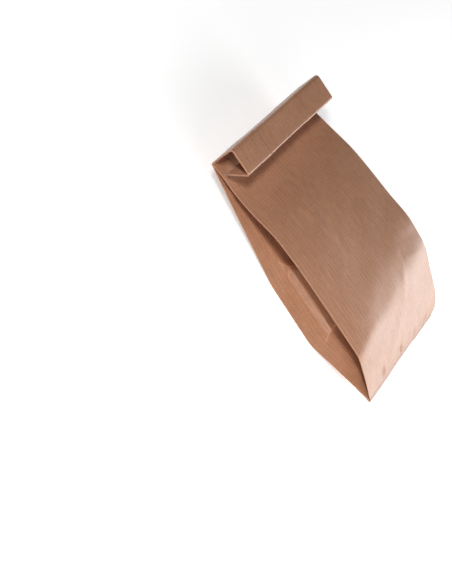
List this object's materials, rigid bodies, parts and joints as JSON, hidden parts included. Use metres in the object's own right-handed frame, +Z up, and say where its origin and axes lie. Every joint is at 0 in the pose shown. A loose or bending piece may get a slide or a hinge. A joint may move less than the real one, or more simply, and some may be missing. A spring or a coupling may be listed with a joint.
{
  "type": "brown paper lunch bag",
  "caption": "Brown kraft paper lunch bag with side gussets and a glued bottom fold, puffed up and lying on its back with its top rolled over towards the front.",
  "frame": {"origin": "on the floor under the middle of the bag's bounding box", "axes": "+Z up out of the front panel, +Y from the glued bottom fold towards the rolled top, +X across the bag to its right side"},
  "size_m": [0.13, 0.21, 0.0419],
  "materials": {
    "kraft_paper": "satin"
  },
  "bodies": {
    "root": {"paper_bag": "kraft_paper"}
  },
  "joints": []
}
